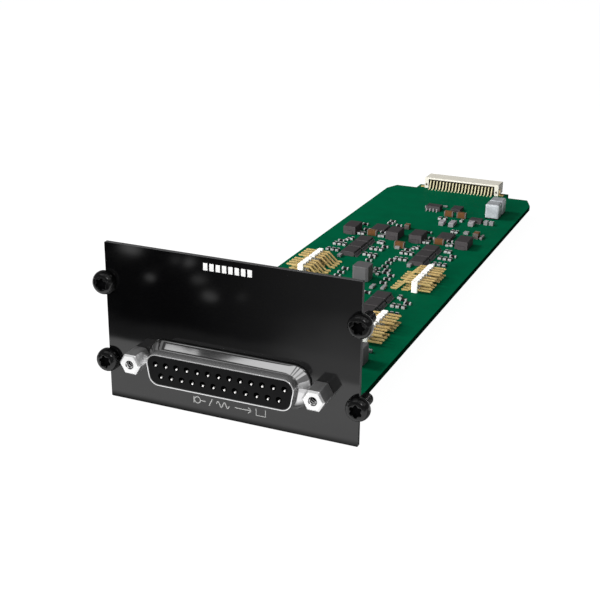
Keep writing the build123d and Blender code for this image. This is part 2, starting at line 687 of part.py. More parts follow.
# chip resistors: centre x, y from the panel front, 1 = long axis along the board
chips = []
for col, nudge in ((left_col, 0.2), (right_col, 0.37)):
    for dx in (-8.3, -6.65, -5.0, 4.5, 6.15, 7.8):
        chips += [(col + dx + nudge, 111.9, 1), (col + dx + nudge, 118.2, 1)]
    chips += [(col - 5.9, 123.9, 1), (col - 4.85, 125.1, 1), (col - 7.4 + nudge, 121.5, 0),
              (col + 4.7, 125.4, 1), (col + 5.95, 125.2, 1), (col + 8.2, 121.4, 0),
              (col - 4.7, 132.0, 1), (col - 3.45, 132.1, 1), (col - 3.8, 136.7, 0),
              (col - 6.4, 142.3, 0)]
    for dx in (4.9, 6.45, 8.15):
        chips += [(col + dx, 72.3, 1)]
    chips += [(col + 4.6, 79.3, 1), (col + 6.2, 77.6, 0), (col + 8.2, 75.4, 0),
              (col - 5.4, 79.0, 0), (col + 6.5, 65.9, 1), (col + 8.1, 65.9, 1)]
chips += [(-9.6, 131.9, 1), (-8.55, 132.2, 1), (-9.8, 135.8, 0),
          (14.0, 132.0, 1), (15.25, 132.4, 1), (13.65, 135.9, 0)]
chips += [(2.4, 109.7, 0), (2.35, 106.5, 0), (2.45, 102.9, 0), (0.9, 100.0, 0), (4.3, 99.8, 0),
          (0.9, 97.5, 1), (2.6, 95.9, 1), (4.5, 97.5, 0),
          (-4.3, 109.8, 0), (-4.2, 106.4, 0),
          (-8.1, 96.0, 0), (-8.1, 92.3, 0), (-7.95, 89.0, 0), (-7.9, 85.4, 0),
          (6.9, 95.8, 0), (6.8, 92.4, 0), (6.9, 88.7, 0),
          (-11.0, 149.3, 0), (-11.1, 146.9, 0), (-7.5, 145.8, 0),
          (11.35, 147.0, 1), (12.75, 146.9, 1),
          (2.9, 160.0, 1), (4.7, 160.4, 1), (10.6, 160.4, 1)]
chips = [(x, y, t) for x, y, t in chips if abs(x) < board_hw - 1]
chip_l = 2.0
chip_w = 0.95
chip_h = 0.6
chip_end = 0.42
with BuildPart() as chip_resistor_bodies:
    with BuildSketch(Plane.XY.offset(board_top + 0.04)):
        for x, y, t in chips:
            with Locations((x, back(y))):
                Rectangle(*((chip_w, chip_l - 2 * chip_end) if t else (chip_l - 2 * chip_end, chip_w)))
    extrude(amount=chip_h - 0.08)
save(chip_resistor_bodies, "chip_resistor_bodies")

with BuildPart() as chip_resistor_terminals:
    e = (chip_l - chip_end) / 2
    with BuildSketch(Plane.XY.offset(board_top)):
        for x, y, t in chips:
            if t:
                with Locations((x, back(y) - e), (x, back(y) + e)):
                    Rectangle(chip_w, chip_end)
            else:
                with Locations((x - e, back(y)), (x + e, back(y))):
                    Rectangle(chip_end, chip_w)
    extrude(amount=chip_h)
save(chip_resistor_terminals, "chip_resistor_terminals")
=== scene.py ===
import math
import random

import bmesh
import bpy
from mathutils import Matrix, Vector


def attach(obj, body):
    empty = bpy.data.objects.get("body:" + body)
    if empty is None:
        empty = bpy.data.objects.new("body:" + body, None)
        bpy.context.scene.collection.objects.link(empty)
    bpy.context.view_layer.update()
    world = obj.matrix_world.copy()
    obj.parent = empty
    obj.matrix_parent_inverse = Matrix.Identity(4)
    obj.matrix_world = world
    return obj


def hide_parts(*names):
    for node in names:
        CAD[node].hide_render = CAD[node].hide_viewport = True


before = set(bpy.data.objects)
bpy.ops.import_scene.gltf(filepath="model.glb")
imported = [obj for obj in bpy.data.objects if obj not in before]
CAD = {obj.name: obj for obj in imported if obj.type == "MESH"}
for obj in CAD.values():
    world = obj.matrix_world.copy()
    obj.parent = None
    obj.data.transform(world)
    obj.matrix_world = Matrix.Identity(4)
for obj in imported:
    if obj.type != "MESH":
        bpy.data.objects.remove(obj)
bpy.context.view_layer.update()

MM = 0.001
scene = bpy.context.scene

# ---------------------------------------------------------------------------
# materials
# ---------------------------------------------------------------------------


def rgb(c):
    return (c[0], c[1], c[2], 1.0)


class Mat:
    """A Principled material with noise-driven colour, roughness and bump."""

    def __init__(self, name, base, alt=None, rough=0.5, rough_var=0.08, metal=0.0,
                 patch=300.0, grain=6000.0, bump=0.05, bump_mm=0.02, stretch=(1, 1, 1),
                 ior=1.5, coat=0.0, coat_rough=0.05, mix=0.5, spec=0.5):
        self.m = bpy.data.materials.new(name)
        self.m.use_nodes = True
        self.nt = self.m.node_tree
        self.nt.nodes.clear()
        n = self.node
        self.out = n("ShaderNodeOutputMaterial")
        self.bsdf = n("ShaderNodeBsdfPrincipled")
        self.link(self.bsdf.outputs[0], self.out.inputs[0])
        self.bsdf.inputs["Metallic"].default_value = metal
        self.bsdf.inputs["IOR"].default_value = ior
        self.bsdf.inputs["Specular IOR Level"].default_value = spec
        self.bsdf.inputs["Coat Weight"].default_value = coat
        self.bsdf.inputs["Coat Roughness"].default_value = coat_rough
        tc = n("ShaderNodeTexCoord")
        mp = n("ShaderNodeMapping")
        mp.inputs["Scale"].default_value = stretch
        self.link(tc.outputs["Object"], mp.inputs["Vector"])
        self.vec = mp.outputs[0]
        self.raw = tc.outputs["Object"]
        alt = alt or tuple(min(1, c * 1.35 + 0.004) for c in base)
        big = self.noise(patch, 3, 0.6)
        fine = self.noise(grain, 2, 0.5)
        blend = n("ShaderNodeMath", operation="MULTIPLY_ADD")
        self.link(fine, blend.inputs[0])
        blend.inputs[1].default_value = 0.45
        half = n("ShaderNodeMath", operation="MULTIPLY")
        self.link(big, half.inputs[0])
        half.inputs[1].default_value = 0.55
        self.link(half.outputs[0], blend.inputs[2])
        ramp = n("ShaderNodeMapRange")
        self.link(blend.outputs[0], ramp.inputs[0])
        ramp.inputs[1].default_value = 0.3
        ramp.inputs[2].default_value = 0.7
        ramp.inputs[3].default_value = max(0.0, mix - 0.5)
        ramp.inputs[4].default_value = min(1.0, mix + 0.5)
        self.col = n("ShaderNodeMix", data_type="RGBA")
        self.link(ramp.outputs[0], self.col.inputs[0])
        self.col.inputs[6].default_value = rgb(base)
        self.col.inputs[7].default_value = rgb(alt)
        self.color = self.col.outputs[2]
        self.link(self.color, self.bsdf.inputs["Base Color"])
        rr = n("ShaderNodeMapRange")
        self.link(big, rr.inputs[0])
        rr.inputs[1].default_value = 0.3
        rr.inputs[2].default_value = 0.7
        rr.inputs[3].default_value = max(0.02, rough - rough_var)
        rr.inputs[4].default_value = min(1.0, rough + rough_var)
        self.link(rr.outputs[0], self.bsdf.inputs["Roughness"])
        self.bump = n("ShaderNodeBump")
        self.bump.inputs["Strength"].default_value = bump
        self.bump.inputs["Distance"].default_value = bump_mm * MM
        self.link(fine, self.bump.inputs["Height"])
        self.link(self.bump.outputs[0], self.bsdf.inputs["Normal"])
        self.big, self.fine = big, fine

    def node(self, kind, **props):
        x = self.nt.nodes.new(kind)
        for k, v in props.items():
            setattr(x, k, v)
        return x

    def link(self, a, b):
        self.nt.links.new(a, b)

    def noise(self, scale, detail=2, rough=0.5, vec=None):
        x = self.node("ShaderNodeTexNoise")
        x.inputs["Scale"].default_value = scale
        x.inputs["Detail"].default_value = detail
        x.inputs["Roughness"].default_value = rough
        self.link(vec or self.vec, x.inputs["Vector"])
        return x.outputs[0]

    def math(self, op, a, b=None, c=None):
        x = self.node("ShaderNodeMath", operation=op)
        for i, v in enumerate((a, b, c)):
            if v is None:
                continue
            if isinstance(v, (int, float)):
                x.inputs[i].default_value = v
            else:
                self.link(v, x.inputs[i])
        return x.outputs[0]

    def mixcol(self, fac, a, b):
        x = self.node("ShaderNodeMix", data_type="RGBA")
        for i, v in ((0, fac), (6, a), (7, b)):
            if isinstance(v, (int, float)):
                x.inputs[i].default_value = v
            elif isinstance(v, tuple):
                x.inputs[i].default_value = rgb(v)
            else:
                self.link(v, x.inputs[i])
        return x.outputs[2]

    def set_color(self, socket):
        self.link(socket, self.bsdf.inputs["Base Color"])


def panel_paint():
    a = Mat("paint_gloss_black", (0.0006, 0.0006, 0.0007), (0.0012, 0.0012, 0.0013), rough=0.085, rough_var=0.015,
            patch=60, grain=2600, bump=0.02, bump_mm=0.01, ior=1.66)
    # fine dust in the gloss
    specks = a.noise(9000, 1, 0.4)
    dots = a.math("GREATER_THAN", specks, 0.78)
    dots = a.math("MULTIPLY", dots, 0.01)
    tint = a.mixcol(dots, a.color, (0.1, 0.1, 0.1))
    a.set_color(tint)
    # sheared edges are matt
    geo = a.node("ShaderNodeNewGeometry")
    sep = a.node("ShaderNodeSeparateXYZ")
    a.link(geo.outputs["Normal"], sep.inputs[0])
    side = a.math("LESS_THAN", a.math("ABSOLUTE", sep.outputs[1]), 0.8)
    flat = a.node("ShaderNodeBsdfDiffuse")
    a.link(a.mixcol(a.math("MULTIPLY_ADD", a.fine, 0.5, 0.6), tint, (0.06, 0.06, 0.061)), flat.inputs[0])
    both = a.node("ShaderNodeMixShader")
    a.link(a.math("MULTIPLY", side, 0.8), both.inputs[0])
    a.link(a.bsdf.outputs[0], both.inputs[1])
    a.link(flat.outputs[0], both.inputs[2])
    a.link(both.outputs[0], a.out.inputs[0])
    return a.m


def shell_plate():
    """Bright plate on the flare; the collar is rougher and less metallic, painted shade that makes it a duller grey."""
    a = Mat("bright_nickel_shell", (0.76, 0.76, 0.77), (0.83, 0.83, 0.83), rough=0.13, rough_var=0.03,
            metal=1.0, patch=400, grain=5000, bump=0.02, bump_mm=0.008, stretch=(1, 8, 1))
    sep = a.node("ShaderNodeSeparateXYZ")
    a.link(a.raw, sep.inputs[0])

    def along(y0, y1, v0, v1):
        r = a.node("ShaderNodeMapRange")
        a.link(sep.outputs[1], r.inputs[0])
        for k, v in enumerate((y0, y1, v0, v1)):
            r.inputs[k + 1].default_value = v
        return r.outputs[0]
    # painted shade: lower metallic on the collar than on the flare darkens it
    metal = a.math("ADD", along(-0.0063, -0.0042, 0.86, 0.94), along(-0.0040, -0.0037, 0.0, 0.055))
    a.link(metal, a.bsdf.inputs["Metallic"])
    polish = a.math("MULTIPLY_ADD", a.big, 0.03, along(-0.0041, -0.0036, 0.15, 0.03))
    a.link(polish, a.bsdf.inputs["Roughness"])
    return a.m


def painted_dark_tops(a, factor):
    """Painted shade: upward faces have their colour scaled by the factor, so tops look darker than the lit sides."""
    geo = a.node("ShaderNodeNewGeometry")
    sep = a.node("ShaderNodeSeparateXYZ")
    a.link(geo.outputs["Normal"], sep.inputs[0])
    ramp = a.node("ShaderNodeMapRange", interpolation_type="SMOOTHSTEP")
    a.link(sep.outputs[2], ramp.inputs[0])
    ramp.inputs[1].default_value = 0.55
    ramp.inputs[2].default_value = 0.95
    dark = a.node("ShaderNodeVectorMath", operation="SCALE")
    a.link(a.color, dark.inputs[0])
    dark.inputs["Scale"].default_value = factor
    a.set_color(a.mixcol(ramp.outputs[0], a.color, dark.outputs[0]))
    return a.m


def solder_mask():
    a = Mat("solder_mask_green", (0.0, 0.05, 0.0215), (0.0, 0.072, 0.031), rough=0.5, rough_var=0.05,
            patch=150, grain=5200, bump=0.03, bump_mm=0.01, ior=1.5, spec=0.035)
    # laminate shows at the routed edges, darker and fibrous
    geo = a.node("ShaderNodeNewGeometry")
    sep = a.node("ShaderNodeSeparateXYZ")
    a.link(geo.outputs["Normal"], sep.inputs[0])
    up = a.math("ABSOLUTE", sep.outputs[2])
    edge = a.math("LESS_THAN", up, 0.5)
    wave = a.node("ShaderNodeTexWave", bands_direction="Z")
    wave.inputs["Scale"].default_value = 900
    wave.inputs["Distortion"].default_value = 3
    a.link(a.raw, wave.inputs["Vector"])
    fibre = a.mixcol(wave.outputs[1], (0.001, 0.02, 0.009), (0.002, 0.03, 0.014))
    # weave of the glass cloth, just visible through the mask
    sx = a.node("ShaderNodeSeparateXYZ")
    a.link(a.raw, sx.inputs[0])
    wx = a.math("SINE", a.math("MULTIPLY", sx.outputs[0], 9000.0))
    wy = a.math("SINE", a.math("MULTIPLY", sx.outputs[1], 9000.0))
    weave = a.math("MULTIPLY_ADD", a.math("MULTIPLY", wx, wy), 0.05, 0.05)
    top = a.mixcol(weave, a.color, (0.0, 0.085, 0.039))
    tint = a.mixcol(edge, top, fibre)
    a.set_color(tint)
    flat = a.node("ShaderNodeBsdfDiffuse")
    a.link(tint, flat.inputs[0])
    share = a.math("MULTIPLY_ADD", edge, 0.25, 0.75)
    both = a.node("ShaderNodeMixShader")
    a.link(share, both.inputs[0])
    a.link(a.bsdf.outputs[0], both.inputs[1])
    a.link(flat.outputs[0], both.inputs[2])
    a.link(both.outputs[0], a.out.inputs[0])
    return a.m


M = {
    "panel": panel_paint(),
    "screw": Mat("black_oxide_steel", (0.0005, 0.0005, 0.0006), (0.0011, 0.0011, 0.0012), rough=0.17, rough_var=0.05,
                 patch=700, grain=7000, bump=0.06, bump_mm=0.015, spec=0.5).m,
    "chrome": shell_plate(),
    "nickel": Mat("machined_nickel", (0.76, 0.76, 0.76), (0.88, 0.88, 0.88), rough=0.32, rough_var=0.05,
                  metal=0.93, patch=900, grain=6000, bump=0.04, bump_mm=0.01, stretch=(1, 0.2, 1)).m,
    "post_face": Mat("turned_nickel_face", (0.7, 0.7, 0.7), (0.82, 0.82, 0.82), rough=0.32, rough_var=0.05,
                     metal=0.68, patch=900, grain=6000, bump=0.04, bump_mm=0.01).m,
    # painted shade: near-black for thread grooves and the bores deep in the posts
    "groove_shade": Mat("painted_thread_shade", (0.02, 0.02, 0.021), (0.05, 0.05, 0.052), rough=0.4, rough_var=0.08,
                  metal=0.6, patch=900, grain=6000, bump=0.1, bump_mm=0.01).m,
    "bracket": Mat("tin_plated_bracket", (0.45, 0.45, 0.44), (0.6, 0.6, 0.58), rough=0.34, rough_var=0.08,
                   metal=0.8, patch=300, grain=5000, bump=0.08, bump_mm=0.01).m,
    "black_mould": Mat("black_mould", (0.0024, 0.0024, 0.0025), (0.0034, 0.0034, 0.0036), rough=0.42, rough_var=0.06,
                       patch=500, grain=9000, bump=0.1, bump_mm=0.01, spec=0.09).m,
    # painted shade: near-black for the screw recesses and the contact bores
    "bore": Mat("painted_shade_black", (0.0006, 0.0006, 0.0007), (0.0014, 0.0014, 0.0015), rough=0.7, rough_var=0.06,
                patch=500, grain=9000, bump=0.1, bump_mm=0.01, spec=0.05).m,
    "gold_contact": Mat("gold_contact", (0.88, 0.82, 0.68), (0.97, 0.94, 0.86), rough=0.3, rough_var=0.05,
                        metal=0.7, patch=900, grain=9000, bump=0.04, bump_mm=0.01).m,
    "tip": Mat("bright_spring_tip", (0.82, 0.81, 0.79), (0.93, 0.92, 0.9), rough=0.3, rough_var=0.05,
               metal=0.45, patch=900, grain=9000, bump=0.04, bump_mm=0.01).m,
    # painted shade: grey for the notches between header units
    "notch_shade": Mat("painted_notch_shade_grey", (0.12, 0.12, 0.115), (0.17, 0.17, 0.165), rough=0.6, rough_var=0.06,
               patch=500, grain=9000, bump=0.1, bump_mm=0.01, spec=0.2).m,
    # painted shade: near-black for the recess behind the rear connector's leads
    "recess_shade": Mat("painted_recess_shade", (0.006, 0.005, 0.003), (0.012, 0.01, 0.006), rough=0.6, rough_var=0.06,
                 patch=500, grain=9000, bump=0.1, bump_mm=0.01, spec=0.1).m,
    "mask": solder_mask(),
    "ivory": Mat("ivory_mould", (0.45, 0.43, 0.375), (0.52, 0.5, 0.435), rough=0.5, rough_var=0.06,
                 patch=350, grain=6000, bump=0.08, bump_mm=0.015, spec=0.3).m,
    "pale_gold": Mat("pale_gold_lead", (0.42, 0.38, 0.22), (0.6, 0.56, 0.38), rough=0.34, rough_var=0.06,
                     metal=0.3, patch=500, grain=7000, bump=0.05, bump_mm=0.01).m,
    "tin": Mat("tin_terminal", (0.17, 0.17, 0.172), (0.25, 0.25, 0.252), rough=0.42, rough_var=0.1,
               metal=0.3, patch=1500, grain=7000, bump=0.2, bump_mm=0.02).m,
    "chip_tin": Mat("chip_end_tin", (0.35, 0.35, 0.353), (0.52, 0.52, 0.524), rough=0.4, rough_var=0.1,
                    metal=0.3, patch=1500, grain=7000, bump=0.2, bump_mm=0.02).m,
    "tin_dark": Mat("tin_lead_grey", (0.06, 0.057, 0.06), (0.12, 0.115, 0.12), rough=0.4, rough_var=0.08,
                    metal=0.3, patch=1500, grain=8000, bump=0.1, bump_mm=0.01, spec=0.3).m,
    "white_mould": Mat("white_mould", (0.72, 0.715, 0.668), (0.8, 0.795, 0.748), rough=0.45, rough_var=0.06,
                       patch=500, grain=7000, bump=0.08, bump_mm=0.01, spec=0.3).m,
    "gold_pin": Mat("gold_pin", (0.52, 0.355, 0.125), (0.72, 0.53, 0.24), rough=0.3, rough_var=0.07,
                    metal=0.5, patch=420, grain=8000, bump=0.08, bump_mm=0.01).m,
    # painted shade: tantalum and ferrite tops are darkened in colour
    "tantalum": painted_dark_tops(Mat("tantalum_epoxy", (0.042, 0.038, 0.039), (0.054, 0.049, 0.051), rough=0.66, rough_var=0.06,
                             patch=700, grain=9000, bump=0.2, bump_mm=0.02, spec=0.1), 0.6),
    "ferrite": painted_dark_tops(Mat("ferrite_mould", (0.07, 0.069, 0.071), (0.09, 0.088, 0.09), rough=0.62, rough_var=0.06,
                            patch=700, grain=7000, bump=0.25, bump_mm=0.03, spec=0.2), 0.8),
    "cap_end": Mat("ceramic_cap_end", (0.1, 0.085, 0.075), (0.15, 0.135, 0.125), rough=0.5, rough_var=0.08,
                   metal=0.1, patch=1500, grain=7000, bump=0.2, bump_mm=0.02, spec=0.3).m,
    "tab_grey": Mat("folded_tab_grey", (0.18, 0.175, 0.182), (0.27, 0.262, 0.272), rough=0.45, rough_var=0.08,
                    metal=0.2, patch=1500, grain=7000, bump=0.2, bump_mm=0.02, spec=0.3).m,
    # painted shade: IC and can tops are darkened in colour
    "ic": painted_dark_tops(Mat("ic_epoxy", (0.042, 0.039, 0.04), (0.054, 0.05, 0.052), rough=0.6, rough_var=0.07,
                       patch=600, grain=9000, bump=0.22, bump_mm=0.02, spec=0.12), 0.62),
    "can": painted_dark_tops(Mat("pressed_can", (0.25, 0.27, 0.288), (0.56, 0.585, 0.61), rough=0.36, rough_var=0.1,
                        metal=0.3, patch=340, grain=5000, bump=0.12, bump_mm=0.02), 0.72),
    "brown": Mat("fired_brown_ceramic", (0.078, 0.034, 0.013), (0.115, 0.052, 0.02), rough=0.5, rough_var=0.08,
                 patch=800, grain=7000, bump=0.2, bump_mm=0.02, spec=0.3).m,
    "diode": Mat("diode_epoxy", (0.17, 0.16, 0.172), (0.24, 0.225, 0.242), rough=0.55, rough_var=0.07,
                 patch=900, grain=8000, bump=0.2, bump_mm=0.02, spec=0.3).m,
    "bead": Mat("bead_metal_cap", (0.18, 0.18, 0.184), (0.27, 0.27, 0.275), rough=0.42, rough_var=0.1,
                metal=0.25, patch=1200, grain=8000, bump=0.2, bump_mm=0.02).m,
    "resistor": Mat("resistor_glaze", (0.004, 0.004, 0.0045), (0.008, 0.008, 0.009), rough=0.3, rough_var=0.06,
                    patch=900, grain=9000, bump=0.1, bump_mm=0.01, spec=0.3).m,
    "print": Mat("white_panel_print", (0.36, 0.36, 0.355), (0.42, 0.42, 0.415), rough=0.55, rough_var=0.05,
                 patch=900, grain=9000, bump=0.1, bump_mm=0.005, spec=0.3).m,
    "thin_print": Mat("grey_panel_print", (0.17, 0.17, 0.168), (0.21, 0.21, 0.207), rough=0.55, rough_var=0.05,
                      patch=900, grain=9000, bump=0.1, bump_mm=0.005, spec=0.3).m,
}

# ---------------------------------------------------------------------------
# mesh helpers
# ---------------------------------------------------------------------------


def put(name, mesh, mat, body="card", nodes=(), angle=35, weighted=True):
    o = bpy.data.objects.new(name, mesh)
    scene.collection.objects.link(o)
    mesh.materials.clear()
    mesh.materials.append(mat)
    for p in mesh.polygons:
        p.use_smooth = True
    mesh.set_sharp_from_angle(angle=math.radians(angle))
    if weighted:
        w = o.modifiers.new("even_normals", "WEIGHTED_NORMAL")
        w.keep_sharp = True
        w.weight = 80
    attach(o, body)
    if nodes:
        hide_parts(*nodes)
        for node in nodes:
            CAD[node].data.materials.clear()
            CAD[node].data.materials.append(mat)
    return o


def to_mesh(bm, name, scale=MM):
    bmesh.ops.recalc_face_normals(bm, faces=bm.faces)
    if scale != 1:
        bmesh.ops.scale(bm, vec=(scale, scale, scale), verts=bm.verts)
    me = bpy.data.meshes.new(name)
    bm.to_mesh(me)
    bm.free()
    return me


def refined(node, mat, width, seg=2, angle=28, body="card", name=None, grow=0.0):
    """The CAD node's own shape with softened edges, standing for the node."""
    src = CAD[node].data
    bm = bmesh.new()
    bm.from_mesh(src)
    bmesh.ops.remove_doubles(bm, verts=bm.verts, dist=2e-7)
    bmesh.ops.dissolve_limit(bm, angle_limit=math.radians(0.6), verts=bm.verts, edges=bm.edges,
                             delimit={"NORMAL"})
    sharp = [e for e in bm.edges if len(e.link_faces) == 2 and e.calc_face_angle(0) > math.radians(angle)]
    bmesh.ops.bevel(bm, geom=sharp, offset=width * MM, segments=seg, profile=0.6, affect="EDGES",
                    clamp_overlap=True, loop_slide=True)
    bmesh.ops.remove_doubles(bm, verts=bm.verts, dist=1e-7)
    if grow:
        bm.normal_update()
        moves = [(v, v.normal * v.calc_shell_factor() * grow * MM) for v in bm.verts]
        for v, d in moves:
            v.co += d
    return put(name or node + "_finished", to_mesh(bm, node + "_finished", 1), mat, body=body, nodes=(node,))


def grid(rings, closed_u=True, closed_v=False, cap=True):
    """Faces between rings of points; each ring is a closed loop of the same length."""
    bm = bmesh.new()
    rows = [[bm.verts.new(p) for p in ring] for ring in rings]
    n = len(rows[0])
    last = len(rows) if closed_v else len(rows) - 1
    for i in range(last):
        a, b = rows[i], rows[(i + 1) % len(rows)]
        for j in range(n if closed_u else n - 1):
            k = (j + 1) % n
            bm.faces.new((a[j], a[k], b[k], b[j]))
    if cap and not closed_v:
        bm.faces.new(list(reversed(rows[0])))
        bm.faces.new(rows[-1])
    return bm


def join(target, other):
    me = bpy.data.meshes.new("tmp")
    other.to_mesh(me)
    other.free()
    target.from_mesh(me)
    bpy.data.meshes.remove(me)


def block(bm, x0, x1, y0, y1, z0, z1, bevel=0.0):
    """One softened block, in millimetres."""
    b = bmesh.new()
    bmesh.ops.create_cube(b, size=1.0)
    for v in b.verts:
        v.co = Vector(((x0 + x1) / 2 + v.co.x * (x1 - x0), (y0 + y1) / 2 + v.co.y * (y1 - y0),
                       (z0 + z1) / 2 + v.co.z * (z1 - z0)))
    if bevel:
        bmesh.ops.bevel(b, geom=list(b.edges), offset=bevel, segments=2, profile=0.6, affect="EDGES")
    join(bm, b)


# ---------------------------------------------------------------------------
# dimensions repeated from the model, millimetres
# ---------------------------------------------------------------------------
panel_t = 1.0
board_top = -13.95
dsub_z = -7.85
hw, hh, corner = 19.4, 3.95, 2.6
front = -6.6
pitch, row_gap = 2.76, 2.84
rng = random.Random(7)

# ---------------------------------------------------------------------------
# front panel: the machined sheet keeps its own shape
# ---------------------------------------------------------------------------
CAD["front_panel"].data.materials.clear()
CAD["front_panel"].data.materials.append(M["panel"])

# ---------------------------------------------------------------------------
# captive screws with six-lobe recess and rolled thread
# ---------------------------------------------------------------------------


def lobe(t, r):
    return r * (1 + 0.16 * math.cos(6 * t))


def screw(name, cx, cz, turn, body, node):
    n = 96
    under = -panel_t - 0.06
    face = under - 2.4
    head = 2.95
    rings = []

    def ring(fn, y):
        rings.append([Vector((cx + fn(t) * math.cos(t + turn), y(t) if callable(y) else y, cz + fn(t) * math.sin(t + turn)))
                      for t in [2 * math.pi * j / n for j in range(n)]])

    ring(lambda t: 0.02, face + 1.85)
    ring(lambda t: 0.6, face + 1.65)
    ring(lambda t: lobe(t, 1.26) - 0.14, face + 1.45)
    ring(lambda t: lobe(t, 1.3), face + 1.3)
    ring(lambda t: lobe(t, 1.36), face + 0.2)
    ring(lambda t: lobe(t, 1.42), face + 0.06)
    # dome, easing from the lobed mouth to a circle
    for k in range(9):
        f = k / 8.0
        r0 = 1.66 + (head - 1.66) * math.sin(f * math.pi / 2)
        y0 = face + (1 - math.cos(f * math.pi / 2)) * 1.75
        blend = max(0.0, 1 - k / 2.0)
        ring(lambda t, r0=r0, blend=blend: r0 * (1 - blend) + blend * (lobe(t, 1.48) + 0.06), y0 + 0.005)
    ring(lambda t: head, under - 0.32)
    ring(lambda t: head - 0.05, under - 0.1)
    ring(lambda t: head - 0.19, under - 0.01)
    ring(lambda t: 1.24, under)
    ring(lambda t: 1.22, under + 0.12)
    # relieved neck
    for y in (under + 0.3, 0.24):
        ring(lambda t: 1.2, y)
    # rolled thread
    y0, y1, p = 0.32, 4.6, 0.5
    steps = int((y1 - y0) / (p / 8))
    for s in range(steps + 1):
        yy = y0 + (y1 - y0) * s / steps
        fade = min(1.0, (yy - y0) / 0.3, (y1 - yy) / 0.35 + 0.15)

        def rr(t, yy=yy, fade=fade):
            ph = (yy / p - t / (2 * math.pi)) % 1.0
            tri = 1 - abs(2 * ph - 1)
            tri = min(1.0, max(0.0, tri * 1.5 - 0.22))
            return 1.22 + fade * 0.27 * tri
        ring(rr, yy)
    ring(lambda t: 1.16, 4.78)
    ring(lambda t: 1.02, 4.98)
    ring(lambda t: 0.1, 5.0)
    bm = grid(rings)
    mesh = to_mesh(bm, name)
    put(name, mesh, M["screw"], body=body, nodes=(node,), angle=50, weighted=False)
    # painted shade: faces inside the six-lobe recess take the near-black bore material
    mesh.materials.append(M["bore"])
    for poly in mesh.polygons:
        q = poly.center / MM
        if math.hypot(q.x - cx, q.z - cz) < 1.52 and face + 0.1 < q.y < face + 1.9:
            poly.material_index = 1


for tag, sx, sz, turn in (("top_left", -1, 1, 0.35), ("top_right", 1, 1, 0.1),
                          ("bottom_left", -1, -1, 0.8), ("bottom_right", 1, -1, 0.55)):
    screw("threaded_screw_" + tag, sx * 32.5, sz * 10.0, turn, "screw_" + tag, "panel_screw_" + tag)

# ---------------------------------------------------------------------------
# D-sub shell: drawn collar that flares into its flange
# ---------------------------------------------------------------------------
PER = 16          # points on each rounded corner
SIDE = (40, 8, 36, 8)


def rounded(points, radius):
    """Closed loop round a convex outline with arcs at its corners, fixed point count."""
    pts = [Vector((p[0], p[1])) for p in points]
    n = len(pts)
    arcs = []
    for i in range(n):
        a, b, c = pts[i - 1], pts[i], pts[(i + 1) % n]
        u, v = (a - b).normalized(), (c - b).normalized()
        half = math.acos(max(-1, min(1, u.dot(v)))) / 2
        d = radius / math.tan(half)
        centre = b + (u + v).normalized() * (radius / math.sin(half))
        s, e = b + u * d, b + v * d
        a0 = math.atan2(s.y - centre.y, s.x - centre.x)
        a1 = math.atan2(e.y - centre.y, e.x - centre.x)
        while a1 - a0 > math.pi:
            a1 -= 2 * math.pi
        while a1 - a0 < -math.pi:
            a1 += 2 * math.pi
        arcs.append([Vector((centre.x + radius * math.cos(a0 + (a1 - a0) * k / PER),
                             centre.y + radius * math.sin(a0 + (a1 - a0) * k / PER))) for k in range(PER + 1)])
    loop = []
    for i in range(n):
        loop += arcs[i]
        e, s = arcs[i][-1], arcs[(i + 1) % n][0]
        m = SIDE[i]
        loop += [e.lerp(s, k / m) for k in range(1, m)]
    return loop


def d_loop(o, wide=0.0):
    t, c = math.tan(math.radians(10)), math.cos(math.radians(10))
    top = hw + wide + o * t + o / c
    low = hw + wide - (2 * hh + o) * t + o / c
    return rounded([(-top, dsub_z + hh + o), (top, dsub_z + hh + o), (low, dsub_z - hh - o), (-low, dsub_z - hh - o)],
                   corner + o)


def ring_at(loop, y):
    return [Vector((p.x, y, p.y)) for p in loop]


wall = 0.32
profile = []
for k in range(5):                                  # rolled rim
    a = math.pi / 2 * k / 4
    profile.append((-0.14 + 0.14 * math.sin(a), 0.0, front + 0.14 - 0.14 * math.cos(a)))
profile += [(0.0, 0.0, -6.3), (0.02, 0.0, -5.2), (0.04, 0.0, -4.1), (0.07, 0.01, -3.92), (0.16, 0.03, -3.76)]
profile += [(0.16 + 1.3 * k / 6, 0.03 + 0.33 * k / 6, -3.76 + 1.92 * k / 6) for k in range(1, 7)]
profile += [(1.54, 0.38, -1.7), (1.59, 0.4, -1.5), (1.6, 0.4, -1.3), (1.6, 0.4, -0.3), (1.6, 0.4, 0.0)]
flange_loop = rounded([(-26.52, dsub_z + 6.25), (26.52, dsub_z + 6.25), (26.52, dsub_z - 6.25), (-26.52, dsub_z - 6.25)], 1.6)
shell = [ring_at(d_loop(o, w), y) for o, w, y in profile]
shell += [ring_at(flange_loop, 0.0), ring_at(flange_loop, 0.8), ring_at(d_loop(-0.45), 0.8)]
shell += [ring_at(d_loop(-0.45), y) for y in (-1.0, -2.0)]
shell += [ring_at(d_loop(-wall), y) for y in (-2.4, -4.5, front + 0.3)]
shell += [ring_at(d_loop(-wall + 0.03), front + 0.1), ring_at(d_loop(-0.22), front)]
put("drawn_shell", to_mesh(grid(shell, closed_v=True, cap=False), "drawn_shell"), M["chrome"],
    nodes=("dsub_shell",), angle=50, weighted=False)

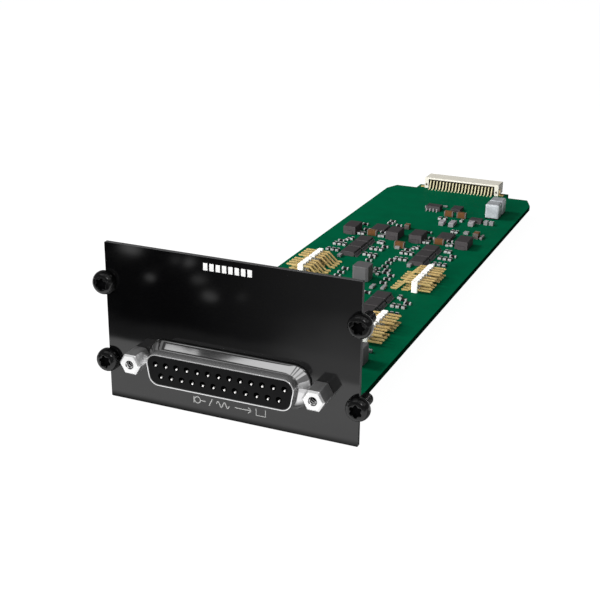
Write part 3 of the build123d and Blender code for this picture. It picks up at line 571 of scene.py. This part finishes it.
# ---------------------------------------------------------------------------
# insulator with a softened face, sockets and what is seen inside them
# ---------------------------------------------------------------------------
contacts = [((i - 6) * pitch, dsub_z + row_gap / 2, 10.2) for i in range(13)]
contacts += [((i - 5.5) * pitch, dsub_z - row_gap / 2, 7.4) for i in range(12)]
insulator = refined("dsub_insulator", M["black_mould"], 0.04)
inner, outer = d_loop(-0.45), d_loop(-wall)
for v in insulator.data.vertices:
    x, y, z = (c / MM for c in v.co)
    if y < -2.3:
        near = min(range(len(inner)), key=lambda i: (inner[i].x - x) ** 2 + (inner[i].y - z) ** 2)
        if (inner[near].x - x) ** 2 + (inner[near].y - z) ** 2 < 0.5 ** 2:
            if min((cx - x) ** 2 + (cz - z) ** 2 for cx, cz, _ in contacts) > 0.95 ** 2:
                step = outer[near] - inner[near]
                v.co.x += step.x * MM
                v.co.z += step.y * MM

bm = bmesh.new()
bores = bmesh.new()
tips = bmesh.new()
for x, z, ty in contacts:
    n = 32
    turns = [2 * math.pi * j / n for j in range(n)]

    def tube(r, y, dx=0.0, dz=0.0):
        return [Vector((x + dx + r * math.cos(t), y, z + dz + r * math.sin(t))) for t in turns]

    join(bm, grid([tube(r, y) for r, y in ((0.05, 5.4), (0.6, 5.4), (0.6, -4.9), (0.56, -5.1), (0.46, -5.1), (0.42, -4.95),
                                           (0.42, -2.0), (0.05, -1.9))]))
    # tip of the contact spring, low in the mouth
    join(tips, grid([tube(r, y, -0.04, -0.48) for r, y in ((0.02, -6.3), (0.13, -6.27), (0.22, -6.16), (0.26, -6.0),
                                                        (0.22, -5.4), (0.05, -5.3))]))
    # moulded funnel and the bore behind it, near-black: painted shade inside each socket
    join(bores, grid([tube(r, y) for r, y in ((0.745, -6.28), (0.74, -6.05), (0.66, -5.6), (0.44, -5.2), (0.41, -5.0),
                                              (0.41, -2.1), (0.04, -2.1))], cap=False))
    # tail: square wire with a rounded elbow, down through the board
    w, rad = 0.3, 0.7
    path = [(5.3, z, 0), (ty - rad, z, 0)]
    for k in range(1, 7):
        a = math.pi / 2 * k / 6
        path.append((ty - rad + rad * math.sin(a), z - rad + rad * math.cos(a), a))
    path += [(ty, board_top - 2.5, math.pi / 2), (ty, board_top - 2.8, math.pi / 2)]
    rings = []
    for i, (py, pz, a) in enumerate(path):
        h = w * (0.6 if i == len(path) - 1 else 1)
        ny, nz = math.sin(a) * h, math.cos(a) * h
        rings.append([Vector((x - h, py + ny, pz + nz)), Vector((x + h, py + ny, pz + nz)),
                      Vector((x + h, py - ny, pz - nz)), Vector((x - h, py - ny, pz - nz))])
    join(bm, grid(rings))
put("socket_contacts", to_mesh(bm, "socket_contacts"), M["gold_contact"], nodes=("dsub_contacts",),
    angle=40, weighted=False)
put("contact_tips", to_mesh(tips, "contact_tips"), M["tip"], angle=60, weighted=False)
put("contact_bore_shade", to_mesh(bores, "contact_bore_shade"), M["bore"], angle=40, weighted=False)

refined("dsub_tail_guide", M["black_mould"], 0.12)
refined("dsub_brackets", M["bracket"], 0.1)

# ---------------------------------------------------------------------------
# jackposts and the thread inside them
# ---------------------------------------------------------------------------
post_tip, bore = -6.65, 1.06


def hexagon(cx, y, apothem, edge=0.16, per=8):
    """Hexagon with a corner to the side, its corners slightly rounded."""
    out = []
    big = apothem / math.cos(math.pi / 6)
    for k in range(6):
        a = k * math.pi / 3
        for j in range(per):
            f = (j - (per - 1) / 2) / ((per - 1) / 2)
            d = edge * abs(f)
            t = a + (math.pi / 2 + math.pi / 6) * (1 if f > 0 else -1)
            px, pz = big * math.cos(a) * (1 - 0.012 * (1 - abs(f))), big * math.sin(a) * (1 - 0.012 * (1 - abs(f)))
            out.append(Vector((cx + px + d * math.cos(t), y, dsub_z + pz + d * math.sin(t))))
    return out


bm = bmesh.new()
for cx in (-23.52, 23.52):
    body = [hexagon(cx, y, a) for y, a in ((-1.02, 2.4), (-1.1, 2.48), (-3.0, 2.48), (post_tip + 0.5, 2.48),
                                            (post_tip + 0.44, 2.46), (post_tip + 0.04, 2.08), (post_tip, 2.02))]
    m = len(body[0])

    def hole(r, y):
        """Circle with its points lined up with the hexagon's."""
        return [Vector((cx + r * math.cos(t), y, dsub_z + r * math.sin(t)))
                for t in [2 * math.pi * (k - 3.5) / m for k in range(m)]]
    rows = body + [hole(bore + 0.1, post_tip), hole(bore, post_tip + 0.1), hole(bore, -1.8), hole(0.02, -1.6)]
    join(bm, grid(rows))
    stud = [(0.02, -1.3), (1.36, -1.3), (1.38, 4.3), (1.1, 4.58), (0.02, 4.6)]
    join(bm, grid([[Vector((cx + r * math.cos(t), y, dsub_z + r * math.sin(t)))
                    for t in [2 * math.pi * j / 40 for j in range(40)]] for r, y in stud]))
post_mesh = to_mesh(bm, "hex_jackposts")
put("hex_jackposts", post_mesh, M["nickel"], nodes=("jackposts",), angle=20)
post_mesh.materials.append(M["post_face"])
for poly in post_mesh.polygons:
    if poly.center.y / MM < post_tip + 0.02:
        poly.material_index = 1
bm = bmesh.new()
for cx in (-23.52, 23.52):
    n, p = 48, 0.8
    rings = []
    y0, y1 = post_tip + 0.12, -1.85
    steps = int((y1 - y0) / (p / 8))
    for s in range(steps + 1):
        yy = y0 + (y1 - y0) * s / steps
        fade = min(1.0, (yy - y0) / 0.2, (y1 - yy) / 0.3)
        row = []
        for j in range(n):
            t = 2 * math.pi * j / n
            ph = (yy / p - t / (2 * math.pi)) % 1.0
            tri = 1 - abs(2 * ph - 1)
            r = bore - 0.02 - 0.26 * fade * min(1.0, max(0.0, tri * 1.6 - 0.3))
            row.append(Vector((cx + r * math.cos(t), yy, dsub_z + r * math.sin(t))))
        rings.append(row)
    for yy in (y1, y0):
        rings.append([Vector((cx + (bore - 0.01) * math.cos(2 * math.pi * j / n), yy, dsub_z + (bore - 0.01) * math.sin(2 * math.pi * j / n)))
                      for j in range(n)])
    join(bm, grid(rings, closed_v=True, cap=False))
thread_mesh = to_mesh(bm, "jackpost_threads")
threads = put("jackpost_threads", thread_mesh, M["post_face"], angle=60, weighted=False)
# painted shade: the thread's groove faces take the near-black material, the crests stay bright
thread_mesh.materials.append(M["groove_shade"])
for poly in thread_mesh.polygons:
    c = poly.center / MM
    r = min(math.hypot(c.x + 23.52, c.z - dsub_z), math.hypot(c.x - 23.52, c.z - dsub_z))
    if r > bore - 0.19:
        poly.material_index = 1
# painted shade: a near-black bore deep inside each post
bm = bmesh.new()
for cx in (-23.52, 23.52):
    ring = [(2 * math.pi * j / 40) for j in range(40)]
    join(bm, grid([[Vector((cx + r * math.cos(t), y, dsub_z + r * math.sin(t))) for t in ring]
                   for r, y in ((0.76, -4.6), (0.76, -1.95), (0.03, -1.9))], cap=False))
put("jackpost_bore_shade", to_mesh(bm, "jackpost_bore_shade"), M["groove_shade"], angle=60, weighted=False)

# ---------------------------------------------------------------------------
# plain marks printed on the panel: eight channel bars, and input symbols
# ---------------------------------------------------------------------------


def stroke(bm, points, width, y=-panel_t - 0.012, closed=False):
    """Flat printed stroke through x, z points on the panel face."""
    pts = [Vector(q) for q in points]
    m = len(pts)
    left, rght = [], []
    for i in range(m):
        a = pts[i - 1] if (closed or i) else pts[i]
        b = pts[(i + 1) % m] if (closed or i < m - 1) else pts[i]
        d = (b - a).normalized()
        nrm = Vector((-d.y, d.x)) * width / 2
        left.append(pts[i] + nrm)
        rght.append(pts[i] - nrm)
    rings = []
    for a, b in zip(left, rght):
        rings.append([Vector((a.x, y, a.y)), Vector((b.x, y, b.y)),
                      Vector((b.x, -panel_t - 0.001, b.y)), Vector((a.x, -panel_t - 0.001, a.y))])
    join(bm, grid(rings, closed_v=closed, cap=not closed))


bm = bmesh.new()
for i in range(8):
    cx = (i - 3.5) * 1.6 - 0.1
    block(bm, cx - 0.55, cx + 0.55, -panel_t - 0.014, -panel_t - 0.001, 16.8, 18.55, 0.004)
put("channel_bars", to_mesh(bm, "channel_bars"), M["print"], angle=40, weighted=False)

bm = bmesh.new()
zc, lw = -16.4, 0.24
circle = [(2 * math.pi * j / 28) for j in range(28)]
stroke(bm, [(-8.5 + 0.8 * math.cos(t), zc + 0.8 * math.sin(t)) for t in circle], lw, closed=True)
stroke(bm, [(-9.45, zc - 0.85), (-9.45, zc + 0.85)], lw)
stroke(bm, [(-7.6, zc), (-6.3, zc)], lw)
stroke(bm, [(-5.4, zc - 0.95), (-4.5, zc + 0.95)], lw)
stroke(bm, [(-3.4 + 0.13 * k, zc + 0.7 * math.sin(k * 2 * math.pi / 13)) for k in range(27)], lw)
stroke(bm, [(1.4, zc), (5.8, zc)], lw)
stroke(bm, [(4.9, zc + 0.75), (5.8, zc), (4.9, zc - 0.75)], lw)
stroke(bm, [(7.0, zc + 0.85), (7.0, zc - 0.85), (9.4, zc - 0.85), (9.4, zc + 0.85)], lw)
put("input_symbols", to_mesh(bm, "input_symbols"), M["thin_print"], angle=40, weighted=False)

# ---------------------------------------------------------------------------
# board: the CAD board gets the green solder mask
# ---------------------------------------------------------------------------
CAD["pcb"].data.materials.clear()
CAD["pcb"].data.materials.append(M["mask"])

# ---------------------------------------------------------------------------
# header insulators: a row of snap-off units with V notches between them
# ---------------------------------------------------------------------------
unit_ys = [43.9, 45.9, 47.9, 49.9, 53.2, 55.2, 57.2, 59.2]
for tag, hx, shift in (("front_right", 17.65, 0.0), ("rear_right", 17.65, 42.1),
                       ("front_left", -18.75, 0.0), ("rear_left", -18.75, 42.1)):
    ys = [y + shift - 1 for y in unit_ys]
    cuts = [(a + b) / 2 for a, b in zip(ys[:-1], ys[1:])]
    w, neck = 0.9, 0.36
    side = [(ys[0] - 0.9, w - 0.3), (ys[0] - 0.62, w)]
    for c in cuts:
        half = 0.48 if abs(c - (ys[3] + ys[4]) / 2) > 0.1 else 0.8
        side += [(c - half, w), (c - half + 0.4, neck), (c + half - 0.4, neck), (c + half, w)]
    side += [(ys[-1] + 0.62, w), (ys[-1] + 0.9, w - 0.3)]
    bm = bmesh.new()
    outline = [(hx - e, y) for y, e in side] + [(hx + e, y) for y, e in reversed(side)]
    z0, z1 = board_top, board_top + 3.5
    low = [bm.verts.new((x, y, z0)) for x, y in outline]
    m = len(side)
    top_rows = []
    for z, k in ((z0 + 0.15, 1.0), (z1 - 0.16, 1.0), (z1 - 0.05, 0.94), (z1, 0.86)):
        top_rows.append([bm.verts.new((hx + (x - hx) * k, y, z - (0.75 if z > z0 + 1 and abs(x - hx) < neck + 0.01 else 0)))
                         for x, y in outline])
    rows = [low] + top_rows
    for a, b in zip(rows[:-1], rows[1:]):
        for i in range(len(outline)):
            j = (i + 1) % len(outline)
            bm.faces.new((a[i], a[j], b[j], b[i]))
    for row in (low, top_rows[-1]):
        for i in range(m - 1):
            bm.faces.new((row[i], row[i + 1], row[2 * m - 2 - i], row[2 * m - 1 - i]))
    put("notched_header_" + tag, to_mesh(bm, "notched_header_" + tag), M["white_mould"],
        nodes=("header_body_" + tag,), angle=25, weighted=False)

# painted shade: dark grey blocks set in the notches between the snap-off units
bm = bmesh.new()
for hx, shift in ((17.65, 0.0), (17.65, 42.1), (-18.75, 0.0), (-18.75, 42.1)):
    ys = [y + shift - 1 for y in unit_ys]
    for a, b in zip(ys[:-1], ys[1:]):
        c = (a + b) / 2
        block(bm, hx - 0.4, hx + 0.4, c - 0.17, c + 0.17, board_top + 2.4, board_top + 3.32, 0.02)
put("header_notch_shades", to_mesh(bm, "header_notch_shades"), M["notch_shade"], angle=40, weighted=False)

# ---------------------------------------------------------------------------
# painted shade: a near-black block inside the rear connector's open front, behind its leads
# ---------------------------------------------------------------------------
bm = bmesh.new()
block(bm, -13.1, 12.2, 197.34, 198.78, board_top + 0.06, board_top + 3.5, 0.04)
put("rear_recess_shade_block", to_mesh(bm, "rear_recess_shade_block"), M["recess_shade"], angle=40, weighted=False)

# ---------------------------------------------------------------------------
# everything soldered on: softened edges
# ---------------------------------------------------------------------------
for node, mat, width, slot in (
        ("rear_connector_housing", "ivory", 0.06, "connector_ivory"),
        ("rear_connector_leads", "pale_gold", 0.03, "lead_gold"),
        ("rear_connector_tabs", "gold_pin", 0.04, "tab_tin"),
        ("header_pins_front_right", "gold_pin", 0.06, "pin_gold"),
        ("header_pins_rear_right", "gold_pin", 0.06, "pin_gold"),
        ("header_pins_front_left", "gold_pin", 0.06, "pin_gold"),
        ("header_pins_rear_left", "gold_pin", 0.06, "pin_gold"),
        ("tantalum_bodies", "tantalum", 0.08, "tantalum_mould"),
        ("tantalum_terminals", "tantalum", 0.03, "terminal_tin"),
        ("power_inductors", "ferrite", 0.1, "inductor_ferrite"),
        ("inductor_terminals", "tin", 0.02, "terminal_tin"),
        ("preamp_ic_bodies", "ic", 0.06, "ic_mould"),
        ("preamp_ic_leads", "tin_dark", 0.03, "lead_tin"),
        ("converter_ic_bodies", "ic", 0.06, "ic_mould"),
        ("converter_ic_pads", "tin_dark", 0.02, "lead_tin"),
        ("buffer_ic_body", "ic", 0.06, "ic_mould"),
        ("buffer_ic_leads", "tin", 0.04, "terminal_tin"),
        ("regulator_bodies", "ic", 0.06, "ic_mould"),
        ("regulator_pads", "tin", 0.02, "terminal_tin"),
        ("filter_can_bases", "black_mould", 0.05, "can_base"),
        ("ceramic_capacitor_bodies", "brown", 0.08, "capacitor_brown"),
        ("ceramic_capacitor_terminals", "cap_end", 0.08, "terminal_tin"),
        ("diode_bodies", "diode", 0.07, "diode_mould"),
        ("diode_terminals", "tab_grey", 0.06, "terminal_tin"),
        ("ferrite_beads", "bead", 0.12, "bead_grey"),
        ("chip_resistor_bodies", "resistor", 0.04, "resistor_black"),
        ("chip_resistor_terminals", "chip_tin", 0.03, "terminal_tin"),
        ("filter_cans", "can", 0.15, "can_metal")):
    refined(node, M[mat], width, grow=0.015 if node.startswith("header_pins") else 0.07 if node == "chip_resistor_bodies" else 0.045 if node.startswith("chip_") else 0.0)

# the packages in a row stand a little apart
mesh = bpy.data.objects["preamp_ic_bodies_finished"].data
bm = bmesh.new()
bm.from_mesh(mesh)
seen = set()
for start in bm.verts:
    if start in seen:
        continue
    group, stack = [], [start]
    seen.add(start)
    while stack:
        v = stack.pop()
        group.append(v)
        for e in v.link_edges:
            w = e.other_vert(v)
            if w not in seen:
                seen.add(w)
                stack.append(w)
    ys = [v.co.y for v in group]
    mid = (min(ys) + max(ys)) / 2
    for v in group:
        v.co.y = mid + (v.co.y - mid) * 0.93
bm.to_mesh(mesh)
bm.free()

# ---------------------------------------------------------------------------
# camera, light, floor
# ---------------------------------------------------------------------------
az, el, roll = math.radians(23.175), math.radians(20.963), math.radians(0.673)
fwd = Vector((-math.sin(az) * math.cos(el), math.cos(az) * math.cos(el), -math.sin(el)))
right = Vector((math.cos(az), math.sin(az), 0))
up = right.cross(fwd)
r2 = right * math.cos(roll) + up * math.sin(roll)
u2 = -right * math.sin(roll) + up * math.cos(roll)
cam_data = bpy.data.cameras.new("camera")
cam_data.sensor_width = 36
cam_data.lens = 68.883
cam_data.clip_start = 0.01
cam_data.clip_end = 20
cam = bpy.data.objects.new("camera", cam_data)
rot = Matrix((r2, u2, -fwd)).transposed().to_4x4()
cam.matrix_world = Matrix.Translation(Vector((0.111086, -0.218865, 0.10419))) @ rot
scene.collection.objects.link(cam)
scene.camera = cam
scene.view_settings.view_transform = "Standard"
scene.view_settings.look = "None"

floor_z = -0.0201


def sheet(name, x0, x1, y0, y1, z):
    bm = bmesh.new()
    bm.faces.new([bm.verts.new(q) for q in ((x0, y0, z), (x1, y0, z), (x1, y1, z), (x0, y1, z))])
    me = bpy.data.meshes.new(name)
    bm.to_mesh(me)
    bm.free()
    o = bpy.data.objects.new(name, me)
    scene.collection.objects.link(o)
    return o


floor = sheet("floor", -3, 3, -3, 3, floor_z)
fm = Mat("pale_floor", (0.05, 0.05, 0.05), (0.06, 0.06, 0.06), rough=0.8, rough_var=0.03, patch=2, grain=50, bump=0.0, spec=0.05)
fm.bsdf.inputs["Emission Color"].default_value = (1, 1, 1, 1)
fm.bsdf.inputs["Emission Strength"].default_value = 0.975
floor.data.materials.append(fm.m)
floor.visible_diffuse = False


def reflector(name, x0, x1, y0, y1, z):
    o = sheet(name, x0, x1, y0, y1, z)
    o.visible_camera = False
    o.visible_diffuse = False
    o.visible_transmission = False
    o.visible_shadow = False
    return o


# dark card before the panel, painted reflection: only glossy surfaces see it, and they see the floor before its edge.
# Its strip next to the panel paints a dark reflection along the panel's foot, and its glowing patches paint soft
# highlights and a fold band onto the panel.
card = reflector("painted_reflection_card", -0.42, 0.42, -0.42, 0.02, floor_z + 0.00008)
c = Mat("painted_reflection_card", (0.0, 0.0, 0.0), (0.0, 0.0, 0.0), rough=1.0, rough_var=0.0, bump=0.0, spec=0.0)
sep = c.node("ShaderNodeSeparateXYZ")
c.link(c.raw, sep.inputs[0])
bend = c.math("MULTIPLY_ADD", c.noise(70, 2, 0.5, c.raw), 0.003, -0.0015)
far = c.math("DIVIDE", c.math("SUBTRACT", c.math("ADD", bend, -0.0312), sep.outputs[1]), 0.0022)
near = c.math("DIVIDE", c.math("ADD", sep.outputs[1], 0.0045), 0.0036)
for_cover = c.math("MAXIMUM", far, near)
smooth = c.node("ShaderNodeMapRange", interpolation_type="SMOOTHSTEP")
c.link(for_cover, smooth.inputs[0])
# where the card is seen in the panel: across and up, in millimetres from the panel's lower middle
ratio = c.math("DIVIDE", 0.218, c.math("SUBTRACT", 0.217, sep.outputs[1]))
across = c.math("MULTIPLY", c.math("MULTIPLY_ADD", ratio, c.math("SUBTRACT", sep.outputs[0], 0.1111), 0.1111), 1000.0)
height = c.math("MULTIPLY_ADD", ratio, -124.3, 124.2)
wob_a = c.math("MULTIPLY_ADD", c.noise(60, 2, 0.5, c.raw), 9.0, -4.5)
wob_b = c.math("MULTIPLY_ADD", c.noise(47, 2, 0.5, c.raw), 7.0, -3.5)
across_w = c.math("ADD", across, wob_a)
height_w = c.math("ADD", height, wob_b)


def soft(value, low, high):
    """0 below low, 1 above high, eased."""
    x = c.node("ShaderNodeMapRange", interpolation_type="SMOOTHSTEP")
    c.link(value, x.inputs[0])
    x.inputs[1].default_value = low
    x.inputs[2].default_value = high
    return x.outputs[0]


def patch_at(x0, z0, rx, rz, a=across, h=height):
    dx = c.math("DIVIDE", c.math("SUBTRACT", a, x0), rx)
    dz = c.math("DIVIDE", c.math("SUBTRACT", h, z0), rz)
    gap = c.math("SQRT", c.math("ADD", c.math("MULTIPLY", dx, dx), c.math("MULTIPLY", dz, dz)))
    return c.math("SUBTRACT", 1.0, soft(gap, 0.25, 1.15))


# painted highlights on the panel: a glow rising to the right, a brighter lower fold band and soft patches
painted_panel_sheen = c.math("MULTIPLY", soft(across, -18.0, 44.0), 0.2)
painted_fold_band = c.math("SUBTRACT", 1.0, soft(height_w, 19.6, 22.6))
painted_panel_sheen = c.math("MULTIPLY_ADD", painted_fold_band, 0.1, painted_panel_sheen)
painted_panel_sheen = c.math("MULTIPLY_ADD", patch_at(28.0, 19.0, 19.0, 13.5, across_w, height_w), 0.27, painted_panel_sheen)
for x0, z0, rx, rz, amount in ((-25.4, 39.1, 3.6, 1.7, 0.42), (-20.3, 33.0, 1.7, 1.2, 0.3), (-9.8, 38.3, 2.0, 1.6, 0.3), (-13.9, 38.5, 1.6, 1.2, 0.16),
                               (-7.4, 34.1, 2.2, 1.3, 0.2), (-4.9, 30.6, 2.6, 1.2, 0.24), (3.5, 31.8, 1.6, 1.0, 0.06)):
    painted_panel_sheen = c.math("MULTIPLY_ADD", patch_at(x0, z0, rx, rz, c.math("MULTIPLY_ADD", wob_a, 0.35, across),
                                           c.math("MULTIPLY_ADD", wob_b, 0.3, height)), amount * 3.0, painted_panel_sheen)
em = c.node("ShaderNodeEmission")
c.link(painted_panel_sheen, em.inputs[1])
clear = c.node("ShaderNodeBsdfTransparent")
both = c.node("ShaderNodeMixShader")
c.link(smooth.outputs[0], both.inputs[0])
c.link(clear.outputs[0], both.inputs[1])
c.link(em.outputs[0], both.inputs[2])
c.link(both.outputs[0], c.out.inputs[0])
card.data.materials.append(c.m)

# glowing sheet overhead with a gap, seen only by glossy rays: painted reflection, it is what the bright shell reflects
reflection_sheet = reflector("painted_shell_reflection_sheet", -0.5, 0.8, -0.4, 0.4, 0.5)
q = Mat("painted_shell_reflection_sheet", (0.0, 0.0, 0.0), (0.0, 0.0, 0.0), rough=1.0, rough_var=0.0, bump=0.0, spec=0.0)
sx = q.node("ShaderNodeSeparateXYZ")
q.link(q.raw, sx.inputs[0])
wave = q.math("MULTIPLY_ADD", q.noise(70, 2, 0.5, q.raw), 0.012, -0.006)
lift = q.math("ADD", sx.outputs[1], 0.0417)
slant = q.math("ADD", q.math("MULTIPLY_ADD", lift, -2.4, sx.outputs[0]), wave)
ripple = q.math("MULTIPLY_ADD", q.noise(130, 1, 0.5, q.raw), 0.012, -0.006)


def step(value, low, high):
    x = q.node("ShaderNodeMapRange", interpolation_type="SMOOTHSTEP")
    q.link(value, x.inputs[0])
    x.inputs[1].default_value = low
    x.inputs[2].default_value = high
    return x.outputs[0]


def between(value, a, b, soften):
    return q.math("MULTIPLY", step(value, a - soften, a + soften), q.math("SUBTRACT", 1.0, step(value, b - soften, b + soften)))


# painted reflection on the shell: a bright band, an island, darker cuts and a faint glow at the left
painted_shell_reflection = q.math("MULTIPLY", step(slant, -0.229, -0.217), 0.62)
island = q.math("MULTIPLY", between(sx.outputs[0], -0.285, -0.254, 0.003),
                q.math("SUBTRACT", 1.0, step(q.math("ADD", lift, ripple), -0.0008, 0.0002)))
painted_shell_reflection = q.math("MULTIPLY_ADD", island, 0.55, painted_shell_reflection)
for a, b, depth in ((-0.04, 0.02, 0.75), (0.11, 0.17, 0.8), (0.36, 0.5, 0.5)):
    cut = q.math("MULTIPLY_ADD", between(sx.outputs[0], a, b, 0.01), -depth, 1.0)
    painted_shell_reflection = q.math("MULTIPLY", painted_shell_reflection, cut)
painted_shell_reflection = q.math("ADD", painted_shell_reflection, q.math("MULTIPLY_ADD", q.math("SUBTRACT", 1.0, step(sx.outputs[0], -0.34, -0.31)), 0.12, 0.035))
shell_reflection_emission = q.node("ShaderNodeEmission")
q.link(painted_shell_reflection, shell_reflection_emission.inputs[1])
q.link(shell_reflection_emission.outputs[0], q.out.inputs[0])
reflection_sheet.data.materials.append(q.m)

world = bpy.data.worlds.new("studio")
scene.world = world
world.use_nodes = True
bg = world.node_tree.nodes["Background"]
bg.inputs[0].default_value = (1.0, 1.0, 1.0, 1)
bg.inputs[1].default_value = 0.16


def area(name, loc, target, size, power, shape="RECTANGLE", size_y=None):
    d = bpy.data.lights.new(name, "AREA")
    d.energy = power
    d.shape = shape
    d.size = size
    d.size_y = size_y or size
    o = bpy.data.objects.new(name, d)
    o.location = loc
    o.rotation_euler = (Vector(target) - Vector(loc)).to_track_quat("-Z", "Y").to_euler()
    scene.collection.objects.link(o)
    return o


key = area("key", (-0.13, -0.93, 0.2), (0, 0.03, -0.01), 0.6, 27.0)
key.visible_glossy = False
top = area("top", (-0.26, 0.05, 0.62), (0, 0.03, -0.01), 0.42, 0.5)
top.visible_glossy = False
side = area("side", (-0.5, 0.06, 0.42), (0, 0.08, -0.01), 0.16, 5.2)
side.visible_glossy = False
kick = area("kick", (0.36, -0.47, 0.54), (0, 0, 0), 0.2, 1.0)
# the panel doesn't shade the board from the low key light
free = bpy.data.collections.new("panel_free_of_key_shadow")
for name in ("front_panel",):
    free.objects.link(CAD[name])
for item in free.collection_objects:
    item.light_linking.link_state = "EXCLUDE"
key.light_linking.blocker_collection = free
